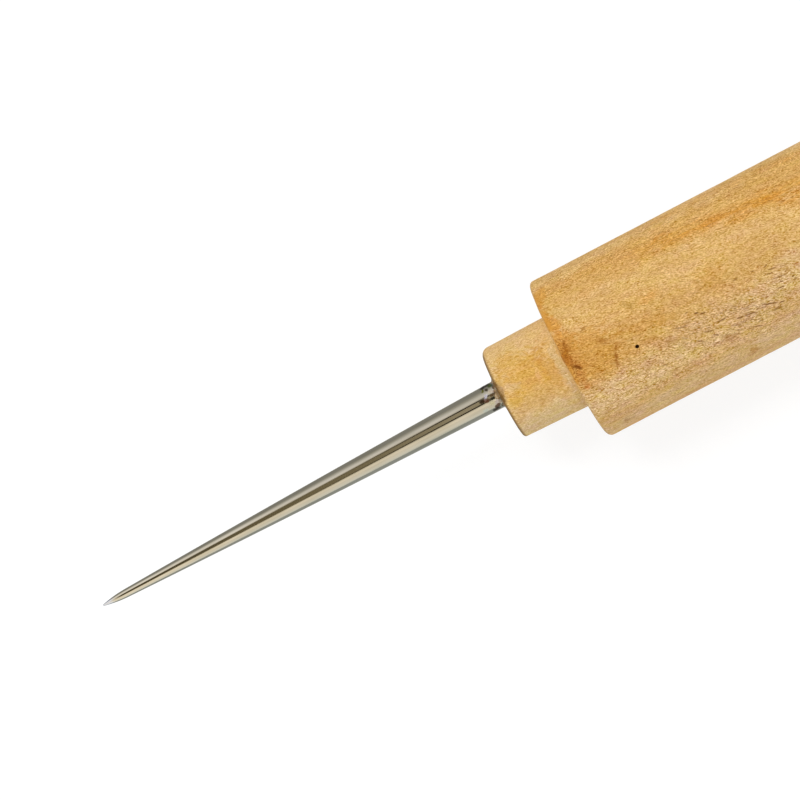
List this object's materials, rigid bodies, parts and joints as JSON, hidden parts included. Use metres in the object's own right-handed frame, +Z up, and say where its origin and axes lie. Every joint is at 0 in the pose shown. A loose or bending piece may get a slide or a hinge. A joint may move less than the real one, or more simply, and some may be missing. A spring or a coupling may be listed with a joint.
{
  "type": "pottery needle tool",
  "caption": "Needle tool for clay: a long tapered steel needle glued into the stepped nose of a round, plain wooden handle.",
  "frame": {"origin": "halfway along the whole tool, on the surface that the barrel lies on", "axes": "+X along the handle's axis from the needle's point towards the butt, +Z up, so the tool lies on the side of its barrel"},
  "size_m": [0.14, 0.015, 0.015],
  "materials": {
    "wood": "bare, finely sanded light hardwood with short brown flecks",
    "steel": "bright ground steel, fine marks along the needle",
    "glue": "cured amber resin, dull with clay and wood dust"
  },
  "bodies": {
    "root": {"handle": "wood", "needle": "steel", "adhesive": "glue"}
  },
  "joints": []
}
